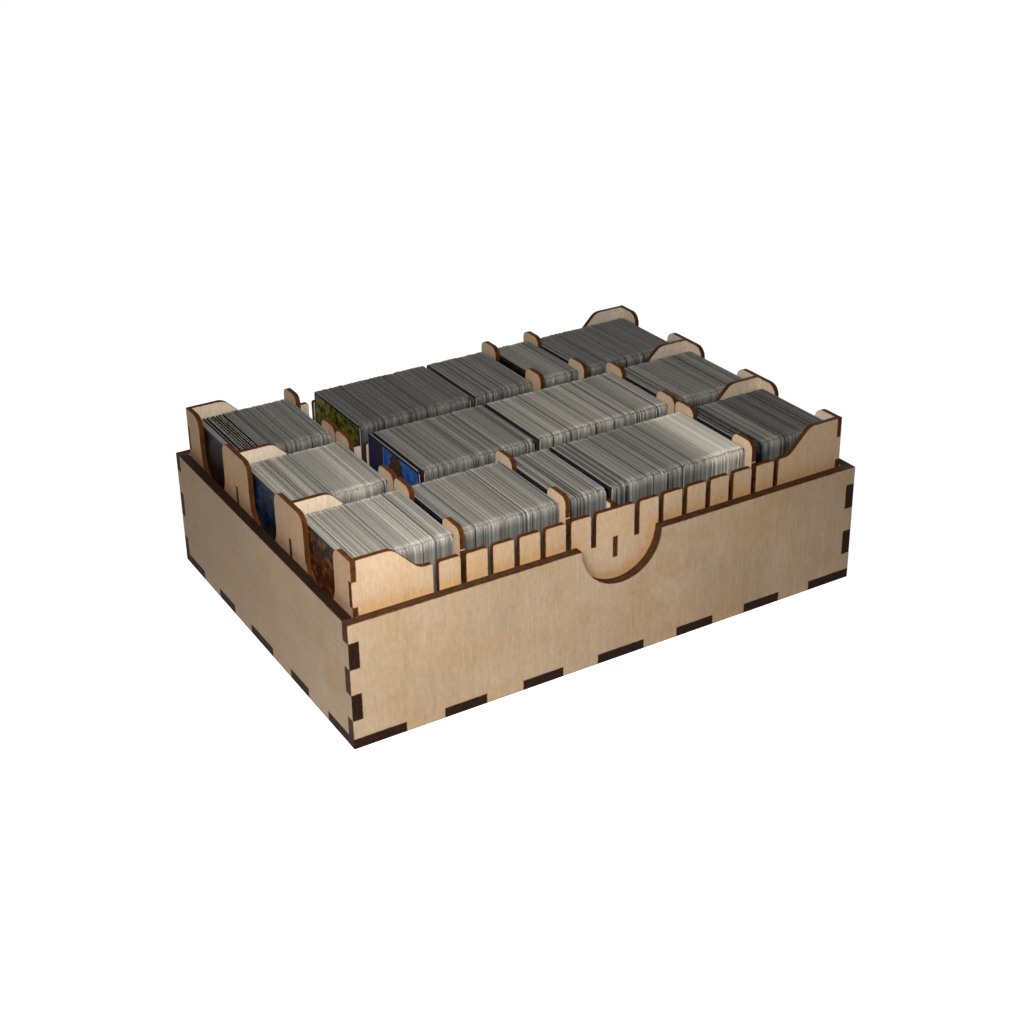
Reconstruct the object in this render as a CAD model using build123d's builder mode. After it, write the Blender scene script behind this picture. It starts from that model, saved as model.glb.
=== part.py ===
from build123d import *
import os

os.makedirs("parts", exist_ok=True)

# A laser-cut plywood box for sleeved cards: an open outer box, a lift-out tray with three
# rows, loose dividers in the slots of the tray's long walls, and the stacks of cards.
# Sizes are in millimetres. X runs along the length, Y from the front to the back, Z up.
# The origin is the middle of the outer box's underside.

# Sleeved cards, standing on edge across a row
sleeve_width = 66.7
sleeve_height = 92.6
sleeve_corner = 2.4
sleeve_side_gap = 2.9
stack_end_gap = 0.4

# Tray of thin plywood
tray_ply = 3.0
tray_length = 326.0
tray_height = 101.3
rail_drop = 15.3
shoulder_inset = 24.2
slope_run = 15.3
slope_radius = 9.0
tray_finger = 15.1
tray_top_finger = 12.2
floor_tab = 22.0
floor_tab_spacing = 27.0
floor_middle = 30.0

# Slots for the dividers, counted outwards from the middle of a long wall
slot_inset = 14.6
slot_pitch = 16.55
slot_depth = 20.5
slot_play = 0.3
slot_corner = 1.5
slot_margin = 2.0

# Round-bottomed windows in the tray's ends, one for each row
window_width = 37.4
window_depth = 41.5
window_shoulder = 7.0

# Tenons of the middle walls in the ends, and of the partition in the front and back walls
wall_tenon_rise = 68.1
wall_tenon_height = 11.3
partition_tenon_rise = 55.8
partition_tenon_height = 12.7
partition_rise = 2.3
lap_rise = 45.0
lap_play = 0.2

# Dividers with two raised ears, whose ends stand in the slots of the long walls
divider_ply = 3.0
divider_reach = 1.25
divider_push = 1.1
divider_side_gap = 0.4
divider_tab_drop = 7.8
ear_width = 18.75
ear_corner = 5.0
dip_corner = 6.0

# Outer box of thick plywood
box_ply = 6.0
box_height = 75.75
tray_play = 1.0
rest_gap = 0.2
joint_play = 0.1
notch_radius = 26.7
box_finger = 15.65
box_top_finger = 11.2
base_middle_tab = 31.4
long_base_tab = 26.0
long_base_gap = 23.7
short_base_tab = 23.7
short_base_gap = 25.4

# Cuts run this far past an edge, and a corner this close to a level counts as on it
overcut = 1.0
same_level = 0.01

# Where the dividers stand: slot numbers to the left (minus) and right of the middle
divider_slots = {"front": (-6, -2, 6), "middle": (-6, 6), "back": (-6, 3, 5)}

# Free space left in a row: row, stack number from the left, at its left and right end
middle_free_space = 16.2
back_free_space = 15.8
space_before_slot_3 = 3.0
space_after_slot_3 = 1.0
space_at_right_end = 2.6
loose_space = {
    ("middle", 2): (middle_free_space, 0.0),
    ("back", 2): (back_free_space, 0.0),
    ("back", 3): (0.0, space_before_slot_3),
    ("back", 4): (space_after_slot_3, 0.0),
    ("back", 5): (0.0, space_at_right_end),
}

# Sleeves stand above their cards, so a stack's top has ribs across it: one for a bundle of
# sleeves packed tight, and one for each sleeve that stands loose
sleeve_over_card = 3.0
bundle_pitch = 4.0
bundle_gap = 1.8
loose_pitch = 1.45
loose_gap = 0.8
loose_depth = 22.0
tight = (bundle_pitch, bundle_gap, sleeve_over_card)
loose = (loose_pitch, loose_gap, loose_depth)

# Packs of cards in a stack, from its left side: the gap before each pack, its length and how
# it is packed. The last pack fills the rest, and a stack that isn't named here is one pack
packs = {
    ("front", 5): ((0.0, 9.0, loose), (0.6, None, tight)),
    ("middle", 2): ((0.0, 0.9, tight), (3.0, None, tight)),
    ("back", 1): ((0.0, 3.4, tight), (0.5, 12.5, loose), (1.5, None, tight)),
}

# Sizes that follow from the ones above
row_width = sleeve_width + 2 * sleeve_side_gap
row_pitch = row_width + tray_ply
row_centres = {"front": -row_pitch, "middle": 0.0, "back": row_pitch}
tray_width = len(row_centres) * row_pitch + tray_ply
box_length = tray_length + 2 * (tray_play + box_ply)
box_width = tray_width + 2 * (tray_play + box_ply)
tray_bottom = box_ply + rest_gap
tray_top = tray_bottom + tray_height
floor_top = tray_bottom + tray_ply
rail = tray_top - rail_drop
half_tray = tray_length / 2
half_inner = half_tray - tray_ply
shoulder = half_tray - shoulder_inset
slope_foot = shoulder - slope_run
slot_width = divider_ply + slot_play
slot_room = slope_foot - slope_radius / 2 - slot_margin - slot_inset
slots_per_side = int(slot_room / slot_pitch) + 1


def slot_x(number):
    """Middle of a slot, counted outwards from the middle of the wall."""
    side = 1 if number > 0 else -1
    return side * (slot_inset + slot_pitch * (abs(number) - 1))


def span(x_from, x_to, y_from, y_to, mode=Mode.ADD):
    """A rectangle given by its sides, in the sketch that is being drawn."""
    with Locations(((x_from + x_to) / 2, (y_from + y_to) / 2)):
        Rectangle(x_to - x_from, y_to - y_from, mode=mode)


def finger_levels(top, bottom, first, pitch):
    """Heights where the fingers of a corner joint change sides, from the top down."""
    levels = [top, top - first]
    while levels[-1] - pitch > bottom + pitch / 2:
        levels.append(levels[-1] - pitch)
    levels.append(bottom)
    return levels


def cut_fingers(levels, own_first, half, thickness):
    """Cut the other panel's fingers out of both ends of the sketched panel."""
    first = 1 if own_first else 0
    for upper, lower in list(zip(levels, levels[1:]))[first::2]:
        for side in (-1, 1):
            inner = side * (half - thickness)
            outer = side * (half + overcut)
            low = lower - joint_play / 2
            high = upper + joint_play / 2
            span(min(inner, outer), max(inner, outer), low, high, Mode.SUBTRACT)


def edge_gaps(length, middle, tab, gap):
    """Spaces between the tabs along an edge, mirrored about its middle."""
    spaces = []
    start = middle / 2
    while start + gap + gap / 2 < length / 2:
        spaces.append((start, start + gap))
        spaces.append((-start - gap, -start))
        start += gap + tab
    return spaces


def finish(part, name):
    """Label a piece and write it to its own file."""
    part.label = name
    export_step(part, f"parts/{name}.step")


box_levels = finger_levels(box_height, box_ply, box_top_finger, box_finger)
tray_levels = finger_levels(tray_top, tray_bottom, tray_top_finger, tray_finger)
long_gaps = edge_gaps(box_length, base_middle_tab, long_base_tab, long_base_gap)
short_gaps = edge_gaps(box_width, base_middle_tab, short_base_tab, short_base_gap)
floor_long_tabs = edge_gaps(tray_length, floor_middle, floor_tab_spacing, floor_tab)
floor_short_tabs = edge_gaps(tray_width, floor_middle, floor_tab_spacing, floor_tab)

# Base of the outer box: a full plate whose edge tabs and corners show on all four sides
with BuildPart() as box_base:
    with BuildSketch():
        Rectangle(box_length, box_width)
        for start, end in long_gaps:
            low = start - joint_play / 2
            high = end + joint_play / 2
            for side in (-1, 1):
                inner = side * (box_width / 2 - box_ply)
                outer = side * (box_width / 2 + overcut)
                span(low, high, min(inner, outer), max(inner, outer), Mode.SUBTRACT)
        for start, end in short_gaps:
            low = start - joint_play / 2
            high = end + joint_play / 2
            for side in (-1, 1):
                inner = side * (box_length / 2 - box_ply)
                outer = side * (box_length / 2 + overcut)
                span(min(inner, outer), max(inner, outer), low, high, Mode.SUBTRACT)
    extrude(amount=box_ply)
finish(box_base.part, "box_base")

# Front and back panels: corner fingers, tabs into the base and a half-round thumb notch
with BuildSketch() as long_panel:
    span(-box_length / 2, box_length / 2, box_ply, box_height)
    cut_fingers(box_levels, True, box_length / 2, box_ply)
    for start, end in long_gaps:
        span(start + joint_play / 2, end - joint_play / 2, 0, box_ply)
    with Locations((0, box_height)):
        Circle(notch_radius, mode=Mode.SUBTRACT)

with BuildPart() as box_front:
    with BuildSketch(Plane.XZ.offset(box_width / 2 - box_ply)):
        add(long_panel.sketch)
    extrude(amount=box_ply)
finish(box_front.part, "box_front")

with BuildPart() as box_back:
    with BuildSketch(Plane.XZ.offset(-box_width / 2)):
        add(long_panel.sketch)
    extrude(amount=box_ply)
finish(box_back.part, "box_back")

# End panels of the outer box, whose fingers fill the gaps of the long panels
with BuildSketch() as end_panel:
    span(-box_width / 2, box_width / 2, box_ply, box_height)
    cut_fingers(box_levels, False, box_width / 2, box_ply)
    for start, end in short_gaps:
        span(start + joint_play / 2, end - joint_play / 2, 0, box_ply)

with BuildPart() as box_left_end:
    with BuildSketch(Plane.YZ.offset(-box_length / 2)):
        add(end_panel.sketch)
    extrude(amount=box_ply)
finish(box_left_end.part, "box_left_end")

with BuildPart() as box_right_end:
    with BuildSketch(Plane.YZ.offset(box_length / 2 - box_ply)):
        add(end_panel.sketch)
    extrude(amount=box_ply)
finish(box_right_end.part, "box_right_end")

# Tray floor: tabs through the four outer walls, mortises for the middle walls' feet
with BuildPart() as tray_floor:
    with BuildSketch(Plane.XY.offset(tray_bottom)):
        Rectangle(2 * half_inner, tray_width - 2 * tray_ply)
        for start, end in floor_long_tabs:
            span(start + joint_play / 2, end - joint_play / 2, -tray_width / 2, tray_width / 2)
        for start, end in floor_short_tabs:
            span(-half_tray, half_tray, start + joint_play / 2, end - joint_play / 2)
        for start, end in floor_long_tabs:
            low = start - joint_play / 2
            high = end + joint_play / 2
            for wall_y in (-row_pitch / 2, row_pitch / 2):
                half_wall = tray_ply / 2 + joint_play / 2
                span(low, high, wall_y - half_wall, wall_y + half_wall, Mode.SUBTRACT)
    extrude(amount=tray_ply)
finish(tray_floor.part, "tray_floor")

# Upper outline shared by the four long walls: raised ends, slopes and the slotted rail
slot_mouths = []
for number in range(1, slots_per_side + 1):
    slot_mouths.append((slot_x(number), rail))
    slot_mouths.append((slot_x(-number), rail))
last_mouth = slot_x(slots_per_side) + slot_width

with BuildSketch() as wall_face:
    with BuildLine():
        FilletPolyline(
            (-half_tray, tray_top),
            (-shoulder, tray_top),
            (-slope_foot, rail),
            (slope_foot, rail),
            (shoulder, tray_top),
            (half_tray, tray_top),
            radius=slope_radius,
        )
        Polyline(
            (half_tray, tray_top),
            (half_tray, floor_top),
            (-half_tray, floor_top),
            (-half_tray, tray_top),
        )
    make_face()
    with Locations(*slot_mouths):
        Rectangle(
            slot_width, slot_depth, align=(Align.CENTER, Align.MAX), mode=Mode.SUBTRACT
        )
    at_rail = wall_face.vertices().filter_by(lambda v: abs(v.Y - rail) < same_level)
    fillet(at_rail.filter_by(lambda v: abs(v.X) < last_mouth), radius=slot_corner)

# Front and back walls of the tray: corner fingers, notches for the floor's tabs
# and a mortise for the partition's tenon
with BuildSketch() as outer_wall:
    add(wall_face.sketch)
    span(-half_tray, half_tray, tray_bottom, floor_top)
    cut_fingers(tray_levels, False, half_tray, tray_ply)
    for start, end in floor_long_tabs:
        low = start - joint_play / 2
        high = end + joint_play / 2
        span(low, high, tray_bottom - overcut, floor_top, Mode.SUBTRACT)
    mortise_low = tray_bottom + partition_tenon_rise - joint_play / 2
    mortise_high = mortise_low + partition_tenon_height + joint_play
    mortise_half = tray_ply / 2 + joint_play / 2
    span(-mortise_half, mortise_half, mortise_low, mortise_high, Mode.SUBTRACT)

with BuildPart() as tray_front_wall:
    with BuildSketch(Plane.XZ.offset(tray_width / 2 - tray_ply)):
        add(outer_wall.sketch)
    extrude(amount=tray_ply)
finish(tray_front_wall.part, "tray_front_wall")

with BuildPart() as tray_back_wall:
    with BuildSketch(Plane.XZ.offset(-tray_width / 2)):
        add(outer_wall.sketch)
    extrude(amount=tray_ply)
finish(tray_back_wall.part, "tray_back_wall")

# Middle walls: the same face between the ends, tenons through the ends, feet through the
# floor, and a slot down the middle where the partition crosses
with BuildSketch() as inner_wall:
    add(wall_face.sketch)
    tenon_low = tray_bottom + wall_tenon_rise
    tenon_high = tenon_low + wall_tenon_height
    for side in (-1, 1):
        inner = side * half_inner
        outer = side * half_tray
        left = min(inner, outer)
        right = max(inner, outer)
        span(left, right, tenon_high, tray_top, Mode.SUBTRACT)
        span(left, right, floor_top, tenon_low, Mode.SUBTRACT)
    for start, end in floor_long_tabs:
        span(start + joint_play / 2, end - joint_play / 2, tray_bottom, floor_top)
    lap_half = (tray_ply + lap_play) / 2
    span(-lap_half, lap_half, tray_bottom + lap_rise, tray_top, Mode.SUBTRACT)

with BuildPart() as tray_middle_wall_1:
    with BuildSketch(Plane.XZ.offset(row_pitch / 2 - tray_ply / 2)):
        add(inner_wall.sketch)
    extrude(amount=tray_ply)
finish(tray_middle_wall_1.part, "tray_middle_wall_1")

with BuildPart() as tray_middle_wall_2:
    with BuildSketch(Plane.XZ.offset(-row_pitch / 2 - tray_ply / 2)):
        add(inner_wall.sketch)
    extrude(amount=tray_ply)
finish(tray_middle_wall_2.part, "tray_middle_wall_2")

# Tray ends: a window in front of each row, rounded posts between them, mortises for the
# middle walls' tenons and notches for the floor's tabs
with BuildSketch() as tray_end:
    span(-tray_width / 2, tray_width / 2, tray_bottom, tray_top)
    window_low = tray_top - window_depth
    for row_y in row_centres.values():
        with Locations((row_y, window_low + window_width / 2)):
            Circle(window_width / 2, mode=Mode.SUBTRACT)
        left = row_y - window_width / 2
        right = row_y + window_width / 2
        span(left, right, window_low + window_width / 2, tray_top + overcut, Mode.SUBTRACT)
    tops = tray_end.vertices().filter_by(lambda v: abs(v.Y - tray_top) < same_level)
    fillet(tops.filter_by(lambda v: abs(v.X) < tray_width / 2 - overcut), radius=window_shoulder)
    cut_fingers(tray_levels, True, tray_width / 2, tray_ply)
    for start, end in floor_short_tabs:
        low = start - joint_play / 2
        high = end + joint_play / 2
        span(low, high, tray_bottom - overcut, floor_top, Mode.SUBTRACT)
    tenon_half = tray_ply / 2 + joint_play / 2
    tenon_from = tenon_low - joint_play / 2
    tenon_to = tenon_high + joint_play / 2
    for wall_y in (-row_pitch / 2, row_pitch / 2):
        span(wall_y - tenon_half, wall_y + tenon_half, tenon_from, tenon_to, Mode.SUBTRACT)

with BuildPart() as tray_left_end:
    with BuildSketch(Plane.YZ.offset(-half_tray)):
        add(tray_end.sketch)
    extrude(amount=tray_ply)
finish(tray_left_end.part, "tray_left_end")

with BuildPart() as tray_right_end:
    with BuildSketch(Plane.YZ.offset(half_inner)):
        add(tray_end.sketch)
    extrude(amount=tray_ply)
finish(tray_right_end.part, "tray_right_end")

# Fixed partition across all three rows in the middle: stands on the floor, laps over the
# middle walls and is tenoned through the front and back walls
with BuildPart() as tray_partition:
    with BuildSketch(Plane.YZ.offset(-tray_ply / 2)):
        inner_half_width = tray_width / 2 - tray_ply
        span(-inner_half_width, inner_half_width, floor_top, rail + partition_rise)
        partition_low = tray_bottom + partition_tenon_rise
        partition_high = partition_low + partition_tenon_height
        span(-tray_width / 2, tray_width / 2, partition_low, partition_high)
        for wall_y in (-row_pitch / 2, row_pitch / 2):
            left = wall_y - lap_half
            right = wall_y + lap_half
            span(left, right, floor_top - overcut, tray_bottom + lap_rise, Mode.SUBTRACT)
    extrude(amount=tray_ply)
finish(tray_partition.part, "tray_partition")

# Dividers: the body fits between the walls, the wider upper part stands in their slots
divider_width = row_width + 2 * divider_reach
divider_body = row_width - 2 * (divider_side_gap + divider_push)
divider_bottom = floor_top + rest_gap
tab_bottom = rail - divider_tab_drop

with BuildSketch() as divider_face:
    span(-divider_width / 2, divider_width / 2, tab_bottom, tray_top)
    ear_inner = divider_width / 2 - ear_width
    span(-ear_inner, ear_inner, rail, tray_top + overcut, Mode.SUBTRACT)
    ear_tops = divider_face.vertices().filter_by(lambda v: abs(v.Y - tray_top) < same_level)
    fillet(ear_tops, radius=ear_corner)
    dip_ends = divider_face.vertices().filter_by(lambda v: abs(v.Y - rail) < same_level)
    fillet(dip_ends, radius=dip_corner)
    body_from = divider_push - divider_body / 2
    body_to = divider_push + divider_body / 2
    span(body_from, body_to, divider_bottom, tab_bottom)

for row, slots in divider_slots.items():
    for place, number in enumerate(slots, start=1):
        side_x = slot_x(number) - divider_ply / 2
        corner = (side_x, row_centres[row] - divider_push, 0)
        with BuildPart() as divider:
            with BuildSketch(Plane(origin=corner, x_dir=(0, 1, 0), z_dir=(1, 0, 0))):
                add(divider_face.sketch)
            extrude(amount=divider_ply)
        finish(divider.part, f"divider_{row}_{place}")

# Stacks of sleeved cards between the ends, the dividers and the partition
stack_bottom = floor_top + rest_gap
stack_top = stack_bottom + sleeve_height

with BuildSketch() as stack_face:
    with Locations((0, (stack_bottom + stack_top) / 2)):
        RectangleRounded(sleeve_width, sleeve_height, sleeve_corner)


def gaps_in_top(row, place, length):
    """Gaps between a stack's packs and ribs, from its left side, and how deep they are."""
    gaps = []
    start = 0.0
    for gap_before, pack_length, (pitch, gap, depth) in packs.get((row, place), ((0.0, None, tight),)):
        if gap_before:
            gaps.append((start, start + gap_before, loose_depth))
        start += gap_before
        end = length if pack_length is None else start + pack_length
        ribs = max(1, round((end - start) / pitch))
        step = (end - start) / ribs
        for number in range(1, ribs):
            middle = start + number * step
            gaps.append((middle - gap / 2, middle + gap / 2, depth))
        start = end
    return gaps


for row, slots in divider_slots.items():
    bounds = [(-half_inner, -half_inner), (-tray_ply / 2, tray_ply / 2), (half_inner, half_inner)]
    for number in slots:
        bounds.append((slot_x(number) - divider_ply / 2, slot_x(number) + divider_ply / 2))
    bounds.sort()
    for place in range(1, len(bounds)):
        left_space, right_space = loose_space.get((row, place), (0.0, 0.0))
        left = bounds[place - 1][1] + stack_end_gap + left_space
        right = bounds[place][0] - stack_end_gap - right_space
        corner = (left, row_centres[row], 0)
        with BuildPart() as stack:
            with BuildSketch(Plane(origin=corner, x_dir=(0, 1, 0), z_dir=(1, 0, 0))):
                add(stack_face.sketch)
            extrude(amount=right - left)
            with BuildSketch(Plane.XZ.offset(-row_centres[row] - sleeve_width / 2 - overcut)):
                for start, end, depth in gaps_in_top(row, place, right - left):
                    span(left + start, left + end, stack_top - depth, stack_top + overcut)
            extrude(amount=sleeve_width + 2 * overcut, mode=Mode.SUBTRACT)
        finish(stack.part, f"cards_{row}_{place}")
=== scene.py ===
import math

import bmesh
import bpy
from mathutils import Euler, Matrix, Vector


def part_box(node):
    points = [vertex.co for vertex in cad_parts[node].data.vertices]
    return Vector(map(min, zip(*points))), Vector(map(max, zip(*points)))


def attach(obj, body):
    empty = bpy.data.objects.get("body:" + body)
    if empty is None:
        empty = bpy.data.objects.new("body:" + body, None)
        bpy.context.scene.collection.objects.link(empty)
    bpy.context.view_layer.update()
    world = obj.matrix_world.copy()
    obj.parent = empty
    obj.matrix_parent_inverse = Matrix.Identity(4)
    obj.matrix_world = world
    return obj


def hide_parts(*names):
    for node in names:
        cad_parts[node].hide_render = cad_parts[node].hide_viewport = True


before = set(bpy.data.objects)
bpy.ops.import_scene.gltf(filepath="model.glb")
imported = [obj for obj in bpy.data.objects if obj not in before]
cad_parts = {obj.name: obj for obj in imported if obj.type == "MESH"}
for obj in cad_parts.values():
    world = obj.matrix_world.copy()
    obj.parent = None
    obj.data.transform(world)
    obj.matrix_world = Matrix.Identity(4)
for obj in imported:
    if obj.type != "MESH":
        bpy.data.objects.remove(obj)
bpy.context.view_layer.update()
scene = bpy.context.scene
scene.view_settings.view_transform = "Standard"


# The camera
# It looks down on the box's front left corner from about a metre away, with a moderately
# long lens, and leans a little to the right.
camera_place = (-0.46427, -0.78180, 0.51499)
camera_heading = math.radians(29.911)
camera_drop = math.radians(24.208)
camera_roll = math.radians(-1.298)
camera_lens = 57.815
camera_shift = (0.02375, -0.09499)

camera_data = bpy.data.cameras.new("camera")
camera_data.lens = camera_lens
camera_data.sensor_width = 36
camera_data.sensor_fit = "HORIZONTAL"
camera_data.shift_x, camera_data.shift_y = camera_shift
camera_data.clip_start = 0.01
camera = bpy.data.objects.new("camera", camera_data)
turn = Euler((math.pi / 2 - camera_drop, 0, -camera_heading)).to_matrix()
lean = Euler((0, 0, camera_roll)).to_matrix()
camera.matrix_world = (turn @ lean).to_4x4()
camera.location = camera_place
scene.collection.objects.link(camera)
scene.camera = camera


# The floor, the background and the lights
# A wide pale floor under the box, a white surround, a small softbox above the box's front left
# corner and a weak one far behind it. The floor shows white where no shadow falls on it.
floor_half_width = 8
floor_colour = (0.86, 0.86, 0.86, 1)
floor_lift = 0.94
surround = (0.075, 0.076, 0.078, 1)
white = (1, 1, 1, 1)
softboxes = {
    "key": {
        "place": (-0.22, -0.30, 0.31),
        "size": 0.20,
        "power": 1.35,
        "warmth": (1, 0.99, 0.975),
    },
    "rear": {
        "place": (0.8, 1.0, 0.12),
        "size": 0.5,
        "power": 3.0,
        "warmth": (1, 1, 1),
    },
}


def socket(sockets, key):
    """The socket in use of that name, or of that number."""
    if isinstance(key, int):
        return sockets[key]
    return next(s for s in sockets if s.name == key and s.enabled)


def add_node(tree, kind, inputs=None, **settings):
    """A node whose inputs get values or links. Returns its first output in use."""
    made = tree.nodes.new(kind)
    for key, value in settings.items():
        setattr(made, key, value)
    for key, value in (inputs or {}).items():
        target = socket(made.inputs, key)
        if isinstance(value, bpy.types.NodeSocket):
            tree.links.new(value, target)
        else:
            target.default_value = value
    return next((s for s in made.outputs if s.enabled), made)


def output_of(first_output, name):
    """Another output of the node that this output belongs to."""
    return socket(first_output.node.outputs, name)


def start_material(name):
    """An empty node material and its tree."""
    material = bpy.data.materials.new(name)
    material.use_nodes = True
    material.node_tree.nodes.clear()
    return material, material.node_tree


def arithmetic(tree, operation, first, second=0.0, clamp=False):
    """One step of arithmetic on numbers."""
    inputs = {0: first, 1: second}
    return add_node(tree, "ShaderNodeMath", inputs, operation=operation, use_clamp=clamp)


def seen_directly(tree):
    """1 for rays from the camera, off a gloss or through glass, and 0 for the light on things."""
    path = add_node(tree, "ShaderNodeLightPath")
    glossy = output_of(path, "Is Glossy Ray")
    through = output_of(path, "Is Transmission Ray")
    seen = arithmetic(tree, "MAXIMUM", output_of(path, "Is Camera Ray"), glossy)
    return arithmetic(tree, "MAXIMUM", seen, through)


world = bpy.data.worlds.new("surround")
scene.world = world
world.use_nodes = True
air = world.node_tree
air.nodes.clear()
light_air = add_node(air, "ShaderNodeBackground", {"Color": surround, "Strength": 1.0})
white_air = add_node(air, "ShaderNodeBackground", {"Color": white, "Strength": 1.0})
both = add_node(air, "ShaderNodeMixShader", {0: seen_directly(air), 1: light_air, 2: white_air})
add_node(air, "ShaderNodeOutputWorld", {"Surface": both})

floor_material, tree = start_material("pale floor")
paint = add_node(tree, "ShaderNodeBsdfDiffuse", {"Color": floor_colour})
strength = arithmetic(tree, "MULTIPLY", seen_directly(tree), floor_lift)
glow = add_node(tree, "ShaderNodeEmission", {"Color": white, "Strength": strength})
lit = add_node(tree, "ShaderNodeAddShader", {0: paint, 1: glow})
add_node(tree, "ShaderNodeOutputMaterial", {"Surface": lit})

floor_mesh = bpy.data.meshes.new("floor")
w = floor_half_width
floor_mesh.from_pydata([(-w, -w, 0), (w, -w, 0), (w, w, 0), (-w, w, 0)], [], [(0, 1, 2, 3)])
floor_mesh.materials.append(floor_material)
floor = bpy.data.objects.new("floor", floor_mesh)
scene.collection.objects.link(floor)

for name, box in softboxes.items():
    lamp = bpy.data.lights.new(name, "AREA")
    lamp.energy = box["power"]
    lamp.size = box["size"]
    lamp.color = box["warmth"]
    light = bpy.data.objects.new(name, lamp)
    light.location = box["place"]
    light.rotation_euler = (-light.location).to_track_quat("-Z", "Y").to_euler()
    scene.collection.objects.link(light)


# The outer box
# Five panels of 6 mm birch plywood, cut by a laser and glued at their fingers. The faces
# stay bare and pale, and every cut edge is burnt almost black, with a scorched rim.
thick_scorch_width = 0.0007
thick_layers = 5.0
panel_pale = (0.635, 0.472, 0.318, 1)
panel_dark = (0.525, 0.380, 0.246, 1)
panel_warm = (0.55, 0.365, 0.20, 1)
thick_burnt = (0.027, 0.011, 0.005, 1)
thick_burnt_light = (0.135, 0.062, 0.026, 1)
end_burnt = (0.010, 0.004, 0.002, 1)
end_burnt_light = (0.042, 0.019, 0.009, 1)

# The wood's noises: grains to the metre along the grain, across it and through the sheet, or one
# number for all ways, then the noise's detail and roughness, and the span of its values that
# counts, which is usual_span where none is given
clouds_look = {"grains": (9, 16, 30), "noise": (3.0, 0.55), "span": (0.35, 0.65)}
blush_look = {"grains": (38, 30, 20), "noise": (3.0, 0.6), "span": (0.42, 0.70), "most": 0.85}
veneer_looks = {
    "mottle": {"grains": (240, 420, 60), "noise": (5.0, 0.7), "tones": (0.89, 1.09)},
    "fibres": {"grains": (60, 1300, 60), "noise": (3.0, 0.6), "tones": (0.92, 1.06)},
    "bands": {"grains": (14, 210, 20), "noise": (3.0, 0.6), "tones": (0.955, 1.035)},
}
rings_look = {
    "grains": (18, 9, 10),
    "noise": (3.0, 0.55),
    "number": 34.0,
    "width": 0.09,
    "tone": 0.965,
}
usual_span = (0.3, 0.7)
scorch_look = {"grains": 380, "noise": (2.0, 0.6), "sway": 0.3, "span": (0.35, 1.05), "most": 0.9}
scorch_brown = (0.16, 0.07, 0.03, 1)
char_look = {"grains": 260, "noise": (4.0, 0.65), "span": (0.32, 0.68)}
ticks_look = {"grains": 1500, "noise": (2.0, 0.6), "span": (0.35, 0.65), "most": 0.75}
glue_line = {"span": (0.36, 0.5), "most": 0.8}

flat_face = 0.99
weld_distance = 2e-6
same_plane = math.radians(0.2)
smooth_angle = math.radians(35)


def mix_colours(tree, factor, first, second, blend="MIX"):
    """Two colours mixed by a factor."""
    inputs = {"Factor": factor, "A": first, "B": second}
    return add_node(tree, "ShaderNodeMix", inputs, data_type="RGBA", blend_type=blend)


def between(tree, value, low, high, out_low=0.0, out_high=1.0):
    """A number brought from one range to another, and kept in it."""
    limits = {"From Min": low, "From Max": high, "To Min": out_low, "To Max": out_high}
    return add_node(tree, "ShaderNodeMapRange", {"Value": value, **limits}, clamp=True)


def stretched_noise(tree, place, grains, detail, roughness):
    """Noise with its own number of grains to the metre along X, Y and Z."""
    spread = add_node(tree, "ShaderNodeMapping", {"Vector": place, "Scale": grains})
    inputs = {"Vector": spread, "Scale": 1.0, "Detail": detail, "Roughness": roughness}
    return add_node(tree, "ShaderNodeTexNoise", inputs)


def veneer_noise(tree, place, axes, look):
    """Noise that follows the veneer of a sheet, whose grain and thickness lie on these axes."""
    along, across, through = look["grains"]
    grain_axis, thin_axis = axes
    grains = [across, across, across]
    grains["XYZ".index(thin_axis)] = through
    grains["XYZ".index(grain_axis)] = along
    return stretched_noise(tree, place, grains, *look["noise"])


def even_noise(tree, place, look):
    """Noise whose grains are as fine in all directions."""
    return stretched_noise(tree, place, [look["grains"]] * 3, *look["noise"])


def read_value(tree, name):
    """A number that the mesh carries at its points."""
    return output_of(add_node(tree, "ShaderNodeAttribute", attribute_name=name), "Fac")


def add_painted_glow(tree, colour, place, painted_glow):
    """Painted warm bounce light along the box's rim and round its thumb notch, which fades below
    the rim.
    """
    parts = add_node(tree, "ShaderNodeSeparateXYZ", {0: place})
    above_rim = arithmetic(tree, "SUBTRACT", output_of(parts, "Z"), painted_glow["rim"])
    reach = arithmetic(tree, "POWER", output_of(parts, "X"), 2.0)
    reach = arithmetic(tree, "ADD", reach, arithmetic(tree, "POWER", above_rim, 2.0))
    reach = arithmetic(tree, "SQRT", reach)
    inside_notch = arithmetic(tree, "SUBTRACT", painted_glow["notch"], reach)
    off_rim = arithmetic(tree, "MAXIMUM", above_rim, inside_notch)
    glow_share = between(tree, off_rim, painted_glow["spread"], 0.0, 0, painted_glow["depth"])
    fading = between(tree, off_rim, *painted_glow["fading"], 1, 0)
    glow_share = arithmetic(tree, "MULTIPLY", glow_share, fading)
    return mix_colours(tree, glow_share, colour, painted_glow["colour"])


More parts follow.
